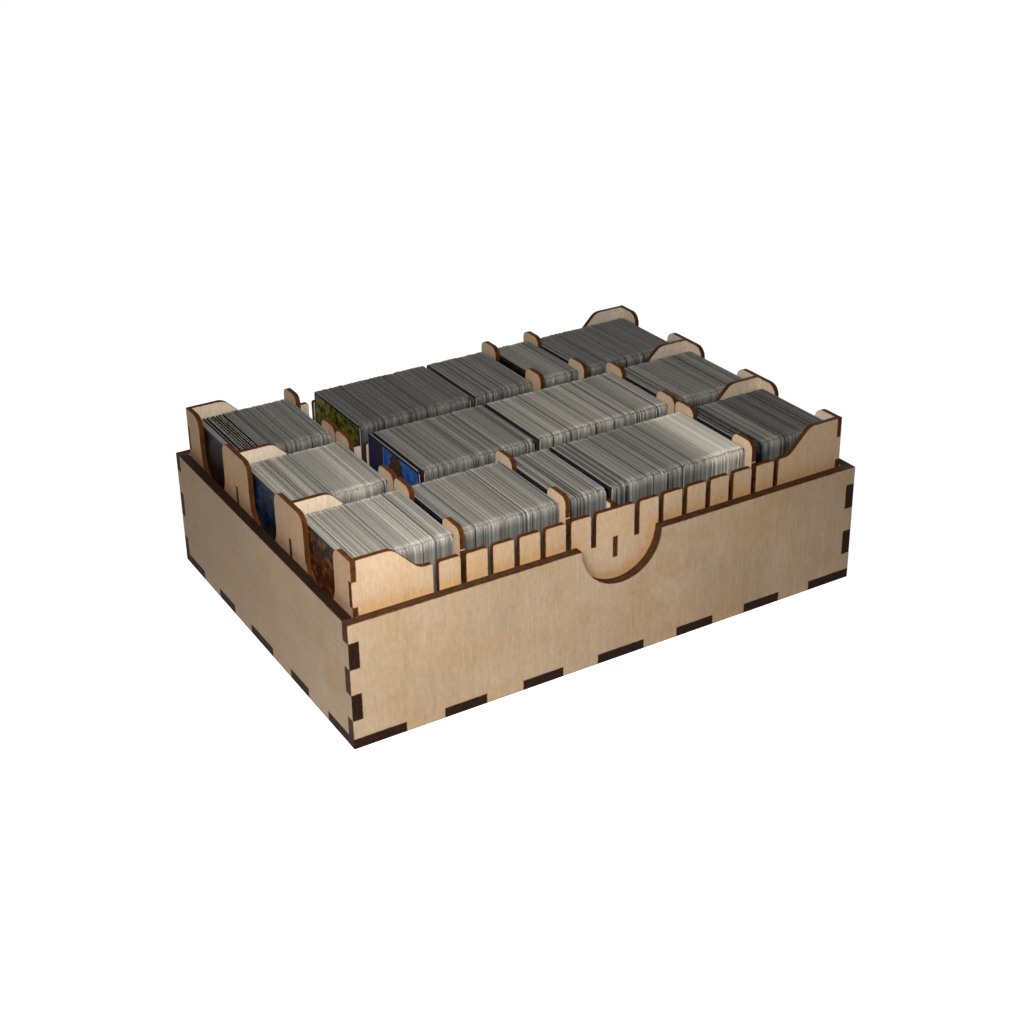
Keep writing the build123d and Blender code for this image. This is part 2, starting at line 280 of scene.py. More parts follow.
def birch_face(name, axes, pale, dark, warm, painted_glow=None):
    """Bare birch veneer: soft clouds, warm patches, fibres, faint rings, a scorched rim. The
    sheet behind the box's rim also gets painted warm bounce light."""
    material, tree = start_material(name)
    place = output_of(add_node(tree, "ShaderNodeTexCoord"), "Object")
    clouds = veneer_noise(tree, place, axes, clouds_look)
    colour = mix_colours(tree, between(tree, clouds, *clouds_look["span"]), dark, pale)
    blush = veneer_noise(tree, place, axes, blush_look)
    warmed = between(tree, blush, *blush_look["span"], 0, blush_look["most"])
    colour = mix_colours(tree, warmed, colour, warm)
    # Painted warm bounce light where the tray's front meets the box's rim
    if painted_glow:
        colour = add_painted_glow(tree, colour, place, painted_glow)
    noises = {}
    for part, look in veneer_looks.items():
        noises[part] = veneer_noise(tree, place, axes, look)
        tone = between(tree, noises[part], *usual_span, *look["tones"])
        colour = mix_colours(tree, 1.0, colour, tone, "MULTIPLY")
    sway = veneer_noise(tree, place, axes, rings_look)
    ring = arithmetic(tree, "FRACT", arithmetic(tree, "MULTIPLY", sway, rings_look["number"]))
    ring = arithmetic(tree, "ABSOLUTE", arithmetic(tree, "SUBTRACT", ring, 0.5))
    tone = between(tree, ring, 0.0, rings_look["width"], rings_look["tone"], 1.0)
    colour = mix_colours(tree, 1.0, colour, tone, "MULTIPLY")
    smoke = even_noise(tree, place, scorch_look)
    smoke = between(tree, smoke, *usual_span, -scorch_look["sway"], scorch_look["sway"])
    rim = arithmetic(tree, "ADD", read_value(tree, "scorch"), smoke)
    scorched = between(tree, rim, *scorch_look["span"], 0, scorch_look["most"])
    colour = mix_colours(tree, scorched, colour, scorch_brown)
    relief = arithmetic(tree, "ADD", noises["fibres"], noises["mottle"])
    relief = {"Strength": 0.3, "Distance": 0.0002, "Height": relief}
    skin = {
        "Base Color": colour,
        "Roughness": between(tree, noises["mottle"], *usual_span, 0.55, 0.7),
        "Specular IOR Level": 0.2,
        "Normal": add_node(tree, "ShaderNodeBump", relief),
    }
    wood = add_node(tree, "ShaderNodeBsdfPrincipled", skin)
    add_node(tree, "ShaderNodeOutputMaterial", {"Surface": wood})
    return material


def burnt_edge(name, layers, dark, light, nick=None):
    """The charred edge of plywood: its layers with dark glue lines between them, and where the
    sheet was snapped out of its waste, a pale nick."""
    material, tree = start_material(name)
    place = output_of(add_node(tree, "ShaderNodeTexCoord"), "Object")
    depth = arithmetic(tree, "MULTIPLY", read_value(tree, "ply"), layers)
    in_layer = arithmetic(tree, "FRACT", depth)
    parity = arithmetic(tree, "MODULO", arithmetic(tree, "FLOOR", depth), 2.0)
    long_grain = between(tree, even_noise(tree, place, char_look), *char_look["span"])
    ticks = even_noise(tree, place, ticks_look)
    end_grain = between(tree, ticks, *ticks_look["span"], 0.0, ticks_look["most"])
    mixed = add_node(tree, "ShaderNodeMix", {"Factor": parity, "A": long_grain, "B": end_grain})
    colour = mix_colours(tree, mixed, dark, light)
    off_middle = arithmetic(tree, "ABSOLUTE", arithmetic(tree, "SUBTRACT", in_layer, 0.5))
    glue = between(tree, off_middle, *glue_line["span"], 0.0, glue_line["most"])
    colour = mix_colours(tree, glue, colour, dark)
    if nick:
        height = output_of(add_node(tree, "ShaderNodeSeparateXYZ", {0: place}), "Z")
        off_nick = arithmetic(tree, "SUBTRACT", height, nick["height"])
        off_nick = arithmetic(tree, "ABSOLUTE", off_nick)
        colour = mix_colours(tree, between(tree, off_nick, *nick["span"]), colour, nick["colour"])
    relief = {"Strength": 0.5, "Distance": 0.0003, "Height": ticks}
    skin = {
        "Base Color": colour,
        "Roughness": 0.75,
        "Specular IOR Level": 0.08,
        "Normal": add_node(tree, "ShaderNodeBump", relief),
    }
    wood = add_node(tree, "ShaderNodeBsdfPrincipled", skin)
    add_node(tree, "ShaderNodeOutputMaterial", {"Surface": wood})
    return material


def cut_sheet(node, thin_axis, scorch_width, face_material, edge_material):
    """A sheet with the frame piece's outline, whose faces have a rim that the laser scorched."""
    axis = "XYZ".index(thin_axis)
    low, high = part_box(node)
    shape = bmesh.new()
    shape.from_mesh(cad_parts[node].data)
    bmesh.ops.remove_doubles(shape, verts=shape.verts, dist=weld_distance)
    bmesh.ops.dissolve_limit(
        shape, angle_limit=same_plane, verts=shape.verts, edges=shape.edges, delimit={"NORMAL"}
    )
    faces = [f for f in shape.faces if abs(f.normal[axis]) > flat_face]
    bmesh.ops.inset_region(
        shape, faces=faces, thickness=scorch_width, use_even_offset=True, use_boundary=True
    )
    scorch = shape.verts.layers.float.new("scorch")
    ply = shape.verts.layers.float.new("ply")
    for face in shape.faces:
        if abs(face.normal[axis]) < flat_face:
            face.material_index = 1
            for vert in face.verts:
                vert[scorch] = 1.0
    for vert in shape.verts:
        vert[ply] = (vert.co[axis] - low[axis]) / (high[axis] - low[axis])
    mesh = bpy.data.meshes.new(node + "_sheet")
    shape.to_mesh(mesh)
    shape.free()
    mesh.shade_smooth()
    mesh.set_sharp_from_angle(angle=smooth_angle)
    mesh.materials.append(face_material)
    mesh.materials.append(edge_material)
    piece = bpy.data.objects.new(node + "_sheet", mesh)
    scene.collection.objects.link(piece)
    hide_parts(node)
    return piece


long_edge = burnt_edge("long panel edge", thick_layers, thick_burnt, thick_burnt_light)
end_edge = burnt_edge("end panel edge", thick_layers, end_burnt, end_burnt_light)
outer_panels = {
    "box_base": ("X", "Z", end_edge),
    "box_front": ("Z", "Y", long_edge),
    "box_back": ("Z", "Y", long_edge),
    "box_left_end": ("Y", "X", end_edge),
    "box_right_end": ("Y", "X", end_edge),
}
for node, (grain, thin, edge) in outer_panels.items():
    face = birch_face(node + " face", (grain, thin), panel_pale, panel_dark, panel_warm)
    sheet = cut_sheet(node, thin, thick_scorch_width, face, edge)
    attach(sheet, "outer_box")


# The lift-out tray
# Thinner 3 mm birch plywood, paler than the box, whose edges are burnt a reddish brown. The
# four long walls, the ends, the floor and the partition are glued at their tenons.
thin_scorch_width = 0.0006
thin_layers = 3.0
outside_pale = (0.73, 0.53, 0.345, 1)
outside_dark = (0.65, 0.455, 0.285, 1)
outside_warm = (0.71, 0.445, 0.235, 1)
inside_pale = (0.92, 0.79, 0.63, 1)
inside_dark = (0.87, 0.72, 0.55, 1)
inside_warm = (0.88, 0.68, 0.47, 1)
left_pale = (0.74, 0.49, 0.30, 1)
left_dark = (0.66, 0.42, 0.25, 1)
left_warm = (0.70, 0.42, 0.21, 1)
thin_burnt = (0.036, 0.011, 0.003, 1)
thin_burnt_light = (0.185, 0.062, 0.015, 1)

# The painted warm bounce light on the tray's front along the box's rim and round its thumb notch,
# in metres
front_painted_glow = {
    "rim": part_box("box_front")[1][2],
    "notch": 0.0267,
    "spread": 0.0085,
    "fading": (-0.002, -0.014),
    "depth": 0.75,
    "colour": (0.86, 0.50, 0.21, 1),
}

thin_edge = burnt_edge("thin edge", thin_layers, thin_burnt, thin_burnt_light)
outside = (outside_pale, outside_dark, outside_warm)
inside = (inside_pale, inside_dark, inside_warm)
left = (left_pale, left_dark, left_warm)
tray_sheets = {
    "tray_floor": ("X", "Z", outside),
    "tray_front_wall": ("Z", "Y", outside),
    "tray_middle_wall_1": ("Z", "Y", inside),
    "tray_middle_wall_2": ("Z", "Y", inside),
    "tray_back_wall": ("Z", "Y", inside),
    "tray_left_end": ("Z", "X", left),
    "tray_right_end": ("Z", "X", inside),
    "tray_partition": ("Z", "X", inside),
}
for node, (grain, thin, colours) in tray_sheets.items():
    # Only the tray's front gets the painted warm bounce light
    painted_glow = front_painted_glow if node == "tray_front_wall" else None
    face = birch_face(node + " face", (grain, thin), *colours, painted_glow)
    sheet = cut_sheet(node, thin, thin_scorch_width, face, thin_edge)
    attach(sheet, "tray")


# The dividers
# Loose sheets of the same thin plywood with two raised ears, which stand in the walls' slots.
divider_pale = (0.80, 0.60, 0.40, 1)
divider_dark = (0.73, 0.52, 0.33, 1)
divider_warm = (0.80, 0.53, 0.30, 1)
nick = {"height": 0.0947, "span": (0.0004, 0.0002), "colour": (0.80, 0.66, 0.48, 1)}
divider_face = birch_face("divider face", ("Z", "X"), divider_pale, divider_dark, divider_warm)
divider_edge = burnt_edge("divider edge", thin_layers, thin_burnt, thin_burnt_light, nick)
dividers = [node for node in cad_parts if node.startswith("divider_")]
for node in dividers:
    sheet = cut_sheet(node, "X", thin_scorch_width, divider_face, divider_edge)
    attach(sheet, node)


# The stacks of sleeved cards
# Playing cards about 0.3 mm thick, each in a matt sleeve that is open at the top and a little
# taller and wider than its card. They stand on edge across the rows, packed by hand.
mm = 0.001
sleeve_width = 65.2 * mm
sleeve_height = 92.2 * mm
sleeve_corner = 3.0 * mm
corner_steps = 3
film = 0.16 * mm
card_thickness = 0.28 * mm
end_card_thickness = 0.5 * mm
sleeve_over_card = {"top": 0.5 * mm, "side": 0.5 * mm, "foot": 0.3 * mm}
slack = {"height": 0.4 * mm, "width": 0.9 * mm}

# How the sleeves of one run differ: shares of their play, turns in radians, waves along the run
# with their scale and their shift from run to run, and changes of tone as shares of the run's
nudge_share = 0.35
jitter_share = 0.55
twist = math.radians(0.16)
tight_sway = 0.001
loose_sway = 0.008
tilt_share = 0.3
loose_flatness = 0.7
drift_wave = (0.08, 3.7)
slow_wave = (0.3, 9.1)
slower_wave = (0.07, 5.3)
slower_share = 2.2
crowding_wave = (0.11, 2.9)
crowding = 6.0
dark_loss = 0.72
bright_from = 0.94
bright_gain = 0.45
least_share = 0.08
leans = (-0.9, -0.1)
side_tones = {"run": (0.0, 0.6), "side": (0.24, 0.31)}


def start_tree(name, numbers, whole=(), materials=()):
    """An empty geometry tree with named inputs. Returns the tree and its input sockets."""
    tree = bpy.data.node_groups.new(name, "GeometryNodeTree")
    kinds = [("Geometry", "NodeSocketGeometry")]
    kinds += [(label, "NodeSocketFloat") for label in numbers]
    kinds += [(label, "NodeSocketInt") for label in whole]
    kinds += [(label, "NodeSocketMaterial") for label in materials]
    for label, kind in kinds:
        tree.interface.new_socket(name=label, in_out="INPUT", socket_type=kind)
    tree.interface.new_socket(name="Geometry", in_out="OUTPUT", socket_type="NodeSocketGeometry")
    given = tree.nodes.new("NodeGroupInput").outputs
    return tree, {label: given[label] for label, kind in kinds}


def end_tree(tree, geometry):
    """Hand the geometry to the tree's output."""
    result = tree.nodes.new("NodeGroupOutput")
    tree.links.new(geometry, result.inputs["Geometry"])


def xyz(tree, x=0.0, y=0.0, z=0.0):
    """A place or an offset from its three parts."""
    return add_node(tree, "ShaderNodeCombineXYZ", {"X": x, "Y": y, "Z": z})


def moved(tree, geometry, offset, rotation=(0, 0, 0)):
    """The geometry turned, then moved."""
    inputs = {"Geometry": geometry, "Translation": offset, "Rotation": rotation}
    return add_node(tree, "GeometryNodeTransform", inputs)


def joined(tree, *parts):
    """Several geometries as one."""
    join = tree.nodes.new("GeometryNodeJoinGeometry")
    for part in reversed(parts):
        tree.links.new(part, join.inputs["Geometry"])
    return join.outputs["Geometry"]


def random_number(tree, low, high, seed):
    """A number for each sleeve."""
    inputs = {"Min": low, "Max": high, "Seed": seed}
    return add_node(tree, "FunctionNodeRandomValue", inputs, data_type="FLOAT")


def kept_number(tree, geometry, name, value, domain, data_type="FLOAT"):
    """A value stored on the geometry under a name, for its material."""
    inputs = {"Geometry": geometry, "Name": name, "Value": value}
    settings = {"domain": domain, "data_type": data_type}
    return add_node(tree, "GeometryNodeStoreNamedAttribute", inputs, **settings)


# One plate with rounded corners, upright on its lower edge, with its thickness along X
plate_tree, plate = start_tree("rounded plate", ["Width", "Height", "Corner", "Thickness"])
outline = add_node(
    plate_tree,
    "GeometryNodeCurvePrimitiveQuadrilateral",
    {"Width": plate["Width"], "Height": plate["Height"]},
    mode="RECTANGLE",
)
outline = add_node(
    plate_tree,
    "GeometryNodeFilletCurve",
    {"Curve": outline, "Count": corner_steps, "Radius": plate["Corner"], "Limit Radius": True},
    mode="POLY",
)
sheet = add_node(plate_tree, "GeometryNodeFillCurve", {"Curve": outline}, mode="NGONS")
spot = add_node(plate_tree, "GeometryNodeInputPosition")
spot = add_node(plate_tree, "ShaderNodeSeparateXYZ", {0: spot})
across = arithmetic(plate_tree, "DIVIDE", output_of(spot, "X"), plate["Width"])
up = arithmetic(plate_tree, "DIVIDE", output_of(spot, "Y"), plate["Height"])
across = arithmetic(plate_tree, "ADD", across, 0.5)
up = arithmetic(plate_tree, "ADD", up, 0.5)
spot = xyz(plate_tree, across, up)
sheet = kept_number(plate_tree, sheet, "print", spot, "POINT", "FLOAT_VECTOR")
front = add_node(
    plate_tree,
    "GeometryNodeExtrudeMesh",
    {"Mesh": sheet, "Offset Scale": plate["Thickness"], "Individual": False},
    mode="FACES",
)
back = add_node(plate_tree, "GeometryNodeFlipFaces", {"Mesh": sheet})
solid = add_node(
    plate_tree,
    "GeometryNodeMergeByDistance",
    {"Geometry": joined(plate_tree, front, back), "Distance": weld_distance},
)
flat = {"Geometry": solid, "Shade Smooth": False}
solid = add_node(plate_tree, "GeometryNodeSetShadeSmooth", flat)
rise = arithmetic(plate_tree, "MULTIPLY", plate["Height"], 0.5)
upright = (math.pi / 2, 0, math.pi / 2)
end_tree(plate_tree, moved(plate_tree, solid, xyz(plate_tree, z=rise), upright))


def plate_node(tree, width, height, corner, thickness):
    """A rounded plate inside another tree."""
    group = tree.nodes.new("GeometryNodeGroup")
    group.node_tree = plate_tree
    values = {"Width": width, "Height": height, "Corner": corner, "Thickness": thickness}
    for key, value in values.items():
        if isinstance(value, bpy.types.NodeSocket):
            tree.links.new(value, group.inputs[key])
        else:
            group.inputs[key].default_value = value
    return group.outputs["Geometry"]


# A run of like sleeves, added to what the stack holds already
run_tree, run = start_tree(
    "run of sleeves",
    ["From", "To", "Row", "Foot", "Pitch", "Width", "Height", "Tone", "Spread", "Lines", "Loose"],
    ["Seed"],
    ["Film", "Card"],
)
side = arithmetic(run_tree, "MULTIPLY", sleeve_over_card["side"], 2.0)
card_width = arithmetic(run_tree, "SUBTRACT", run["Width"], side)
card_drop = sleeve_over_card["top"] + sleeve_over_card["foot"]
card_height = arithmetic(run_tree, "SUBTRACT", run["Height"], card_drop)
window = plate_node(run_tree, run["Width"], run["Height"], sleeve_corner, film)
front_film = moved(run_tree, window, (-card_thickness / 2 - film, 0, 0))
back_film = moved(run_tree, window, (card_thickness / 2, 0, 0))
card = plate_node(run_tree, card_width, card_height, sleeve_corner, card_thickness)
card = moved(run_tree, card, (-card_thickness / 2, 0, sleeve_over_card["foot"]))
card = kept_number(run_tree, card, "card", True, "FACE", "BOOLEAN")
sleeve = joined(run_tree, front_film, card, back_film)

length = arithmetic(run_tree, "SUBTRACT", run["To"], run["From"])
number = arithmetic(run_tree, "DIVIDE", length, run["Pitch"])
number = arithmetic(run_tree, "MAXIMUM", arithmetic(run_tree, "FLOOR", number), 1.0)
step = arithmetic(run_tree, "DIVIDE", length, number)
first = arithmetic(run_tree, "ADD", run["From"], arithmetic(run_tree, "MULTIPLY", step, 0.5))
start = xyz(run_tree, first, run["Row"], run["Foot"])
points = add_node(
    run_tree,
    "GeometryNodeMeshLine",
    {"Count": number, "Start Location": start, "Offset": xyz(run_tree, step)},
    mode="OFFSET",
)
index = add_node(run_tree, "GeometryNodeInputIndex")


def wandering(scale, shift):
    """A slow wave along the run, about 0, for sleeves that were handled together."""
    place = arithmetic(run_tree, "MULTIPLY", index, scale)
    shifted = arithmetic(run_tree, "MULTIPLY", run["Seed"], shift)
    place = arithmetic(run_tree, "ADD", place, shifted)
    inputs = {"W": place, "Scale": 1.0, "Detail": 2.0, "Roughness": 0.6}
    wave = add_node(run_tree, "ShaderNodeTexNoise", inputs, noise_dimensions="1D")
    return arithmetic(run_tree, "SUBTRACT", wave, 0.5)


def seed_plus(offset):
    """The run's seed, moved on for another set of random numbers."""
    return arithmetic(run_tree, "ADD", run["Seed"], offset)


play = arithmetic(run_tree, "SUBTRACT", step, card_thickness + 2 * film)
nudge = random_number(run_tree, -nudge_share, nudge_share, seed_plus(1))
nudge_x = arithmetic(run_tree, "MULTIPLY", play, nudge)
drift = arithmetic(run_tree, "MULTIPLY", wandering(*drift_wave), slack["width"])
most_jitter = jitter_share * slack["width"]
jitter = random_number(run_tree, -most_jitter, most_jitter, seed_plus(2))
nudge_y = arithmetic(run_tree, "ADD", drift, jitter)
nudge_z = random_number(run_tree, -slack["height"], 0.0, seed_plus(3))
points = add_node(
    run_tree,
    "GeometryNodeSetPosition",
    {"Geometry": points, "Offset": xyz(run_tree, nudge_x, nudge_y, nudge_z)},
)
turn_x = random_number(run_tree, -twist, twist, seed_plus(4))
sway = between(run_tree, run["Loose"], 0.0, 1.0, tight_sway, loose_sway)
turn_y = random_number(run_tree, -tilt_share, tilt_share, seed_plus(5))
turn_y = arithmetic(run_tree, "MULTIPLY", turn_y, sway)
turn_z = random_number(run_tree, -1.0, 1.0, seed_plus(6))
turn_z = arithmetic(run_tree, "MULTIPLY", turn_z, sway)
flatter = between(run_tree, run["Loose"], 0.0, 1.0, 1.0, loose_flatness)
sleeves = add_node(
    run_tree,
    "GeometryNodeInstanceOnPoints",
    {
        "Points": points,
        "Instance": sleeve,
        "Rotation": xyz(run_tree, turn_x, turn_y, turn_z),
        "Scale": xyz(run_tree, flatter, 1.0, 1.0),
    },
)
sleeves = kept_number(run_tree, sleeves, "loose", run["Loose"], "INSTANCE")
slower = arithmetic(run_tree, "MULTIPLY", wandering(*slower_wave), slower_share)
slow = arithmetic(run_tree, "ADD", wandering(*slow_wave), slower)
quick = random_number(run_tree, -1.0, 1.0, seed_plus(7))
change = arithmetic(run_tree, "ADD", slow, quick)
change = arithmetic(run_tree, "MULTIPLY", change, run["Spread"])
draw = random_number(run_tree, 0.0, 1.0, seed_plus(8))
crowded = arithmetic(run_tree, "MULTIPLY", wandering(*crowding_wave), crowding)
crowded = arithmetic(run_tree, "ADD", 1.0, crowded)
share_of_dark = arithmetic(run_tree, "MULTIPLY", run["Lines"], crowded)
dark_line = arithmetic(run_tree, "LESS_THAN", draw, share_of_dark)
dark_line = arithmetic(run_tree, "MULTIPLY", dark_line, -dark_loss)
bright_line = arithmetic(run_tree, "GREATER_THAN", draw, bright_from)
bright_line = arithmetic(run_tree, "MULTIPLY", bright_line, bright_gain)
change = arithmetic(run_tree, "ADD", change, dark_line)
change = arithmetic(run_tree, "ADD", change, bright_line)
share = arithmetic(run_tree, "ADD", change, 1.0)
share = arithmetic(run_tree, "MAXIMUM", share, least_share)
tone = arithmetic(run_tree, "MULTIPLY", run["Tone"], share)
sleeves = kept_number(run_tree, sleeves, "tone", tone, "INSTANCE")
side_tone = between(run_tree, run["Tone"], *side_tones["run"], *side_tones["side"])
side_tone = arithmetic(run_tree, "MULTIPLY", side_tone, share)
sleeves = kept_number(run_tree, sleeves, "side_tone", side_tone, "INSTANCE")
tint = random_number(run_tree, -1.0, 1.0, seed_plus(9))
sleeves = kept_number(run_tree, sleeves, "tint", tint, "INSTANCE")
lean = random_number(run_tree, *leans, seed_plus(10))
sleeves = kept_number(run_tree, sleeves, "lean", lean, "INSTANCE")
both = joined(run_tree, run["Geometry"], sleeves)
plain = add_node(run_tree, "GeometryNodeRealizeInstances", {"Geometry": both})
is_card = add_node(
    run_tree, "GeometryNodeInputNamedAttribute", {"Name": "card"}, data_type="BOOLEAN"
)
dressed = {"Geometry": plain, "Material": run["Film"]}
plain = add_node(run_tree, "GeometryNodeSetMaterial", dressed)
dressed = {"Geometry": plain, "Selection": is_card, "Material": run["Card"]}
plain = add_node(run_tree, "GeometryNodeSetMaterial", dressed)
end_tree(run_tree, plain)

film_pale = (1.0, 0.938, 0.80, 1)
film_side_pale = (0.64, 0.63, 0.60, 1)
print_navy = (0.014, 0.018, 0.026, 1)
print_brown = (0.050, 0.030, 0.020, 1)
black = (0, 0, 0, 1)
card_tone_share = 0.9

# Where the film changes its look: by how far a face is turned to an axis, and by the distance
# from the sleeve's sides and ends in mm
turned_sideways = (0.5, 1.0)
turned_along = (0.6, 0.9)
side_rim = (0.6, 1.4)
end_rim = (0.25, 0.5)
# The painted highlight on the sleeves' rounded corners: how far from the sides and ends it
# reaches in mm, how strong it is, and how much it grows as a sleeve leans left
corner_highlight_reach = (2.0, 6.0)
corner_highlight = 0.7
highlight_over_lean = 0.4


def turned_faces(tree, axis):
    """How far a face is turned to that axis, from 0 to 1, either way."""
    facing = output_of(add_node(tree, "ShaderNodeNewGeometry"), "Normal")
    parts = add_node(tree, "ShaderNodeSeparateXYZ", {0: facing})
    return arithmetic(tree, "ABSOLUTE", output_of(parts, axis))


def spot_on_plate(tree):
    """How far across and how far up a plate this spot is, in mm."""
    spot = output_of(add_node(tree, "ShaderNodeAttribute", attribute_name="print"), "Vector")
    parts = add_node(tree, "ShaderNodeSeparateXYZ", {0: spot})
    across = arithmetic(tree, "MULTIPLY", output_of(parts, "X"), sleeve_width / mm)
    up = arithmetic(tree, "MULTIPLY", output_of(parts, "Y"), sleeve_height / mm)
    return across, up


def from_edges(tree, across, up):
    """How far a spot on a plate is from its nearest side and from its nearest end, in mm."""
    other_side = arithmetic(tree, "SUBTRACT", sleeve_width / mm, across)
    other_end = arithmetic(tree, "SUBTRACT", sleeve_height / mm, up)
    off_side = arithmetic(tree, "MINIMUM", across, other_side)
    off_end = arithmetic(tree, "MINIMUM", up, other_end)
    return off_side, off_end


def sleeve_film(name):
    """Matt film: pale at its rim, with a painted highlight at its corners, dark where it lies on
    a card's print.
    """
    material, tree = start_material(name)
    lean = read_value(tree, "lean")
    to_side = between(tree, turned_faces(tree, "Y"), *turned_sideways)
    edge = mix_colours(tree, to_side, film_pale, film_side_pale)
    tones = {"Factor": to_side, "A": read_value(tree, "tone"), "B": read_value(tree, "side_tone")}
    tone = add_node(tree, "ShaderNodeMix", tones)
    off_side, off_end = from_edges(tree, *spot_on_plate(tree))
    off_corner = arithmetic(tree, "MAXIMUM", off_side, off_end)
    # A painted highlight near the rounded corners, stronger on sleeves that lean left
    painted_highlight = between(tree, off_corner, *corner_highlight_reach, corner_highlight, 0.0)
    highlight_by_lean = arithmetic(tree, "SUBTRACT", highlight_over_lean, lean)
    painted_highlight = arithmetic(tree, "ADD", 1.0, arithmetic(tree, "MULTIPLY", painted_highlight, highlight_by_lean))
    edge = mix_colours(tree, arithmetic(tree, "MULTIPLY", tone, painted_highlight), black, edge)
    tint = between(tree, read_value(tree, "tint"), -1.0, 1.0)
    printed = mix_colours(tree, tint, print_navy, print_brown)
    below_rim = between(tree, off_end, *end_rim)
    below_rim = arithmetic(tree, "MINIMUM", between(tree, off_side, *side_rim), below_rim)
    below_rim = arithmetic(tree, "MAXIMUM", below_rim, read_value(tree, "loose"))
    flat = between(tree, turned_faces(tree, "X"), *turned_along)
    flat = arithmetic(tree, "MULTIPLY", flat, below_rim)
    facing = output_of(add_node(tree, "ShaderNodeNewGeometry"), "Normal")
    bend = add_node(tree, "ShaderNodeCombineXYZ", {"X": lean})
    bent = add_node(tree, "ShaderNodeVectorMath", {0: facing, 1: bend}, operation="ADD")
    bent = add_node(tree, "ShaderNodeVectorMath", {0: bent}, operation="NORMALIZE")
    skin = {"Base Color": edge, "Roughness": 0.35, "Specular IOR Level": 0.6, "Normal": bent}
    rim = add_node(tree, "ShaderNodeBsdfPrincipled", skin)
    skin = {"Base Color": printed, "Roughness": 0.4, "Specular IOR Level": 0.02}
    side = add_node(tree, "ShaderNodeBsdfPrincipled", skin)
    plastic = add_node(tree, "ShaderNodeMixShader", {0: flat, 1: rim, 2: side})
    add_node(tree, "ShaderNodeOutputMaterial", {"Surface": plastic})
    return material


def card_stock(name):
    """The cut edge of a card, seen down between the two films of its sleeve."""
    material, tree = start_material(name)
    tone = arithmetic(tree, "MULTIPLY", read_value(tree, "tone"), card_tone_share)
    colour = mix_colours(tree, tone, black, film_pale)
    skin = {"Base Color": colour, "Roughness": 0.7, "Specular IOR Level": 0.3}
    paper = add_node(tree, "ShaderNodeBsdfPrincipled", skin)
    add_node(tree, "ShaderNodeOutputMaterial", {"Surface": paper})
    return material


film_material = sleeve_film("sleeve film")
card_material = card_stock("card stock")


def add_modifier(piece, tree, values):
    """The tree on the piece, with its inputs set by their identifiers."""
    modifier = piece.modifiers.new(tree.name, "NODES")
    modifier.node_group = tree
    inputs = [item for item in tree.interface.items_tree if item.in_out == "INPUT"]
    names = {item.name: item.identifier for item in inputs}
    for name, value in values.items():
        modifier[names[name]] = value
    return modifier


def made_plain(piece):
    """The evaluated geometry as the piece's own mesh, with no modifier left."""
    bpy.context.view_layer.update()
    graph = bpy.context.evaluated_depsgraph_get()
    mesh = bpy.data.meshes.new_from_object(piece.evaluated_get(graph), depsgraph=graph)
    piece.modifiers.clear()
    piece.data = mesh
    mesh.name = piece.name


# Each run: where it starts and ends in mm from the stack's left side, the pitch of its sleeves
# in mm, how pale they are from 0 to 1, how much that varies, and what share is much darker.
# How pale a run is also paints in light: the first stack of each row is paler, with painted
# sheen and painted light on it.
# A run to the end stops at the stack's last card.
to_end = None
close = 0.64
stack_runs = {
    "cards_front_1": [(0.6, 4.2, 0.90, 0.62, 0.15, 0.0), (4.2, to_end, close, 0.50, 0.34, 0.06)],
    "cards_front_2": [(0.6, to_end, close, 0.30, 0.40, 0.12)],
    "cards_front_3": [
        (0.6, 7.0, close, 0.32, 0.35, 0.10),
        (7.0, 13.0, close, 0.29, 0.2, 0.55),
        (13.0, to_end, close, 0.31, 0.35, 0.12),
    ],
    "cards_front_4": [
        (0.6, 60.0, close, 0.245, 0.40, 0.20),
        (60.0, 66.0, close, 0.28, 0.3, 0.12),
        (66.0, 69.5, close, 0.38, 0.3, 0.0),
        (69.5, 72.2, close, 0.54, 0.2, 0.0),
        (72.2, to_end, 0.604, 0.72, 0.12, 0.0),
    ],
    "cards_front_5": [
        (0.6, 9.0, 1.1, 0.34, 0.2, 0.0),
        (9.6, 23.5, close, 0.215, 0.38, 0.18),
        (23.5, 34.0, close, 0.085, 0.35, 0.25),
        (34.0, to_end, close, 0.110, 0.38, 0.25),
    ],
    "cards_middle_1": [(0.6, 3.0, 0.80, 0.60, 0.15, 0.0), (3.0, to_end, close, 0.535, 0.3, 0.06)],
    "cards_middle_2": [(3.9, to_end, close, 0.25, 0.30, 0.09)],
    "cards_middle_3": [(0.6, to_end, close, 0.40, 0.35, 0.12)],
    "cards_middle_4": [(0.6, to_end, close, 0.25, 0.38, 0.22)],
    "cards_back_1": [
        (0.6, 3.2, 0.62, 0.45, 0.10, 0.0),
        (3.9, 16.4, 1.40, 0.95, 0.10, 0.0),
        (17.2, to_end, close, 0.25, 0.38, 0.18),
    ],
    "cards_back_2": [(0.6, to_end, close, 0.125, 0.36, 0.14)],
    "cards_back_3": [(0.6, to_end, close, 0.19, 0.36, 0.14)],
    "cards_back_4": [(0.6, to_end, close, 0.31, 0.3, 0.06)],
    "cards_back_5": [(0.6, to_end, close, 0.165, 0.25, 0.06)],
}
loose_from = 1.0
seeds_per_stack = 20
